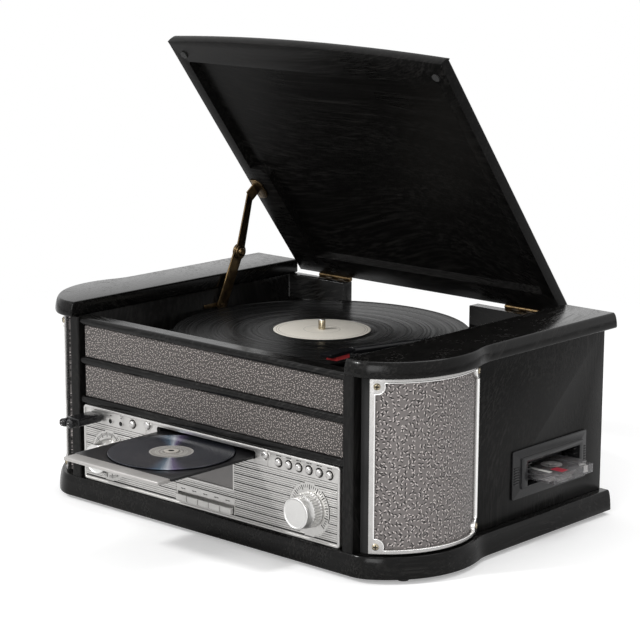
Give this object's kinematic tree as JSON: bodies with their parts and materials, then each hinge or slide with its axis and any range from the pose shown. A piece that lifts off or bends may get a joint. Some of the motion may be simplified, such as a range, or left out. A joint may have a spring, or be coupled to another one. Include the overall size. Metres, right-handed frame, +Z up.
{
  "type": "stereo music centre",
  "caption": "Black wooden stereo music centre with rounded speaker ends, record player under a propped lid, CD tray, cassette slot, USB stick and dials.",
  "frame": {"origin": "on the table under the middle of the cabinet, at the centre of the face of its middle foot", "axes": "+X to the right seen from the front, +Y to the back, +Z up; the faceplate faces -Y"},
  "size_m": [0.5112, 0.4622, 0.468],
  "materials": {
    "black_ash": "open-grain satin stain",
    "rubber_black": "matte",
    "grille_cloth": "woven grey-mauve",
    "silver_paint": "satin silver",
    "silver_plastic": "satin silver plating",
    "display_grey": "grey window",
    "dark_plastic": "fine texture",
    "bare_board": "raw fibreboard",
    "brass_old": "antique",
    "brass_bright": "plated",
    "steel": "plain",
    "alloy": "turned",
    "vinyl": "grooved",
    "disc_silver": "mirrored",
    "clear_smoke": "translucent shell",
    "stick_plastic": "gloss",
    "board_green": "solder mask",
    "stylus_red": "gloss"
  },
  "bodies": {
    "cabinet": {"feet": "rubber_black", "base_plinth": "black_ash", "top_wings": "black_ash", "side_panels": "black_ash", "back_panel": "black_ash", "well_walls": "black_ash", "front_panel": "black_ash", "pillars": "black_ash", "grille_strips": "grille_cloth", "speaker_baffles": "bare_board", "speaker_frames": "silver_plastic", "speaker_grilles": "grille_cloth", "frame_screws": "brass_bright", "speaker_drivers": "dark_plastic", "faceplate": "silver_paint", "display_window": "display_grey", "front_sockets": "steel", "cd_drive": "dark_plastic", "cassette_bezel": "dark_plastic", "cassette_mechanism": "dark_plastic", "turntable_deck": "dark_plastic", "drive_motor": "steel", "drive_belt": "rubber_black", "hinge_lower_leaves": "brass_old", "stay_bracket": "brass_old", "circuit_boards": "board_green", "rear_connectors": "dark_plastic"},
    "lid": {"lid": "black_ash", "lid_bumpers": "rubber_black", "hinge_upper_leaves": "brass_old", "stay_plate": "brass_old"},
    "stay_lower": {"stay_lower_link": "brass_old"},
    "stay_upper": {"stay_upper_link": "brass_old"},
    "platter": {"platter": "alloy", "record": "vinyl"},
    "pulley": {"motor_pulley": "brass_bright"},
    "gimbal": {"tonearm_gimbal": "dark_plastic"},
    "tonearm": {"tonearm": "dark_plastic", "cartridge": "stylus_red"},
    "tray": {"cd_tray": "dark_plastic", "tray_bar": "silver_plastic"},
    "disc": {"compact_disc": "disc_silver"},
    "cassette": {"cassette": "clear_smoke"},
    "usb_stick": {"usb_stick": "stick_plastic"},
    "volume_knob": {"volume_knob": "silver_plastic"},
    "tuning_knob": {"tuning_knob": "silver_plastic"},
    "power_button": {"power_button": "silver_plastic"},
    "stop_button": {"stop_button": "silver_plastic"},
    "tray_button": {"tray_button": "silver_plastic"},
    "preset_button_1": {"preset_button_1": "silver_plastic"},
    "preset_button_2": {"preset_button_2": "silver_plastic"},
    "preset_button_3": {"preset_button_3": "silver_plastic"},
    "preset_button_4": {"preset_button_4": "silver_plastic"},
    "preset_button_5": {"preset_button_5": "silver_plastic"},
    "preset_button_6": {"preset_button_6": "silver_plastic"},
    "function_key_1": {"function_key_1": "silver_plastic"},
    "function_key_2": {"function_key_2": "silver_plastic"},
    "function_key_3": {"function_key_3": "silver_plastic"},
    "function_key_4": {"function_key_4": "silver_plastic"},
    "function_key_5": {"function_key_5": "silver_plastic"}
  },
  "joints": [
    {"name": "lid_fold", "type": "hinge", "parent": "cabinet", "child": "lid", "pos_m": [0, 0.1665, 0.192], "axis": [1, 0, 0], "range_deg": [0, 52.6]},
    {"name": "stay_foot_turn", "type": "hinge", "parent": "cabinet", "child": "stay_lower", "pos_m": [-0.1783, 0.04, 0.173], "axis": [1, 0, 0], "range_deg": [-69.52, 0.5]},
    {"name": "stay_head_turn", "type": "hinge", "parent": "lid", "child": "stay_upper", "pos_m": [-0.1765, 0.08161, 0.28822], "axis": [1, 0, 0], "range_deg": [-0.5, 39.54]},
    {"name": "platter_spin", "type": "hinge", "parent": "cabinet", "child": "platter", "pos_m": [-0.0185, 0.0228, 0.16], "axis": [0, 0, 1], "continuous": true},
    {"name": "pulley_spin", "type": "hinge", "parent": "cabinet", "child": "pulley", "pos_m": [-0.061, -0.05081, 0.16], "axis": [0, 0, 1], "continuous": true},
    {"name": "arm_swing", "type": "hinge", "parent": "cabinet", "child": "gimbal", "pos_m": [0.15, 0.1, 0.17], "axis": [0, 0, 1], "range_deg": [-31.69, 0]},
    {"name": "arm_lift", "type": "hinge", "parent": "gimbal", "child": "tonearm", "pos_m": [0.15, 0.1, 0.183], "axis": [-0.9599, 0.2805, 0], "range_deg": [-0.8, 4]},
    {"name": "tray_slide", "type": "slide", "parent": "cabinet", "child": "tray", "axis": [0, 1, 0], "range_m": [0, 0.1077]},
    {"name": "disc_spin", "type": "hinge", "parent": "tray", "child": "disc", "pos_m": [0.0011, -0.21, 0.093], "axis": [0, 0, 1], "continuous": true},
    {"name": "cassette_slide", "type": "slide", "parent": "cabinet", "child": "cassette", "axis": [1, 0, 0], "range_m": [-0.02, 0.08]},
    {"name": "stick_pull", "type": "slide", "parent": "cabinet", "child": "usb_stick", "axis": [0, -1, 0], "range_m": [0, 0.03]},
    {"name": "volume_turn", "type": "hinge", "parent": "cabinet", "child": "volume_knob", "pos_m": [0.1352, -0.17, 0.0552], "axis": [0, -1, 0], "range_deg": [-150, 150]},
    {"name": "tuning_turn", "type": "hinge", "parent": "cabinet", "child": "tuning_knob", "pos_m": [-0.1352, -0.17, 0.0552], "axis": [0, -1, 0], "continuous": true},
    {"name": "power_button_press", "type": "slide", "parent": "cabinet", "child": "power_button", "axis": [0, 1, 0], "range_m": [0, 0.0015], "stiffness_N_per_m": 300},
    {"name": "stop_button_press", "type": "slide", "parent": "cabinet", "child": "stop_button", "axis": [0, 1, 0], "range_m": [0, 0.0015], "stiffness_N_per_m": 300},
    {"name": "tray_button_press", "type": "slide", "parent": "cabinet", "child": "tray_button", "axis": [0, 1, 0], "range_m": [0, 0.0015], "stiffness_N_per_m": 300},
    {"name": "preset_button_1_press", "type": "slide", "parent": "cabinet", "child": "preset_button_1", "axis": [0, 1, 0], "range_m": [0, 0.0015], "stiffness_N_per_m": 300},
    {"name": "preset_button_2_press", "type": "slide", "parent": "cabinet", "child": "preset_button_2", "axis": [0, 1, 0], "range_m": [0, 0.0015], "stiffness_N_per_m": 300},
    {"name": "preset_button_3_press", "type": "slide", "parent": "cabinet", "child": "preset_button_3", "axis": [0, 1, 0], "range_m": [0, 0.0015], "stiffness_N_per_m": 300},
    {"name": "preset_button_4_press", "type": "slide", "parent": "cabinet", "child": "preset_button_4", "axis": [0, 1, 0], "range_m": [0, 0.0015], "stiffness_N_per_m": 300},
    {"name": "preset_button_5_press", "type": "slide", "parent": "cabinet", "child": "preset_button_5", "axis": [0, 1, 0], "range_m": [0, 0.0015], "stiffness_N_per_m": 300},
    {"name": "preset_button_6_press", "type": "slide", "parent": "cabinet", "child": "preset_button_6", "axis": [0, 1, 0], "range_m": [0, 0.0015], "stiffness_N_per_m": 300},
    {"name": "function_key_1_press", "type": "slide", "parent": "cabinet", "child": "function_key_1", "axis": [0, 1, 0], "range_m": [0, 0.0015], "stiffness_N_per_m": 300},
    {"name": "function_key_2_press", "type": "slide", "parent": "cabinet", "child": "function_key_2", "axis": [0, 1, 0], "range_m": [0, 0.0015], "stiffness_N_per_m": 300},
    {"name": "function_key_3_press", "type": "slide", "parent": "cabinet", "child": "function_key_3", "axis": [0, 1, 0], "range_m": [0, 0.0015], "stiffness_N_per_m": 300},
    {"name": "function_key_4_press", "type": "slide", "parent": "cabinet", "child": "function_key_4", "axis": [0, 1, 0], "range_m": [0, 0.0015], "stiffness_N_per_m": 300},
    {"name": "function_key_5_press", "type": "slide", "parent": "cabinet", "child": "function_key_5", "axis": [0, 1, 0], "range_m": [0, 0.0015], "stiffness_N_per_m": 300}
  ],
  "couplings": [
    {"joint": "stay_foot_turn", "follows": "lid_fold", "ratio": -1.3122},
    {"joint": "stay_head_turn", "follows": "lid_fold", "ratio": 0.74218},
    {"joint": "pulley_spin", "follows": "platter_spin", "ratio": 11.667}
  ]
}
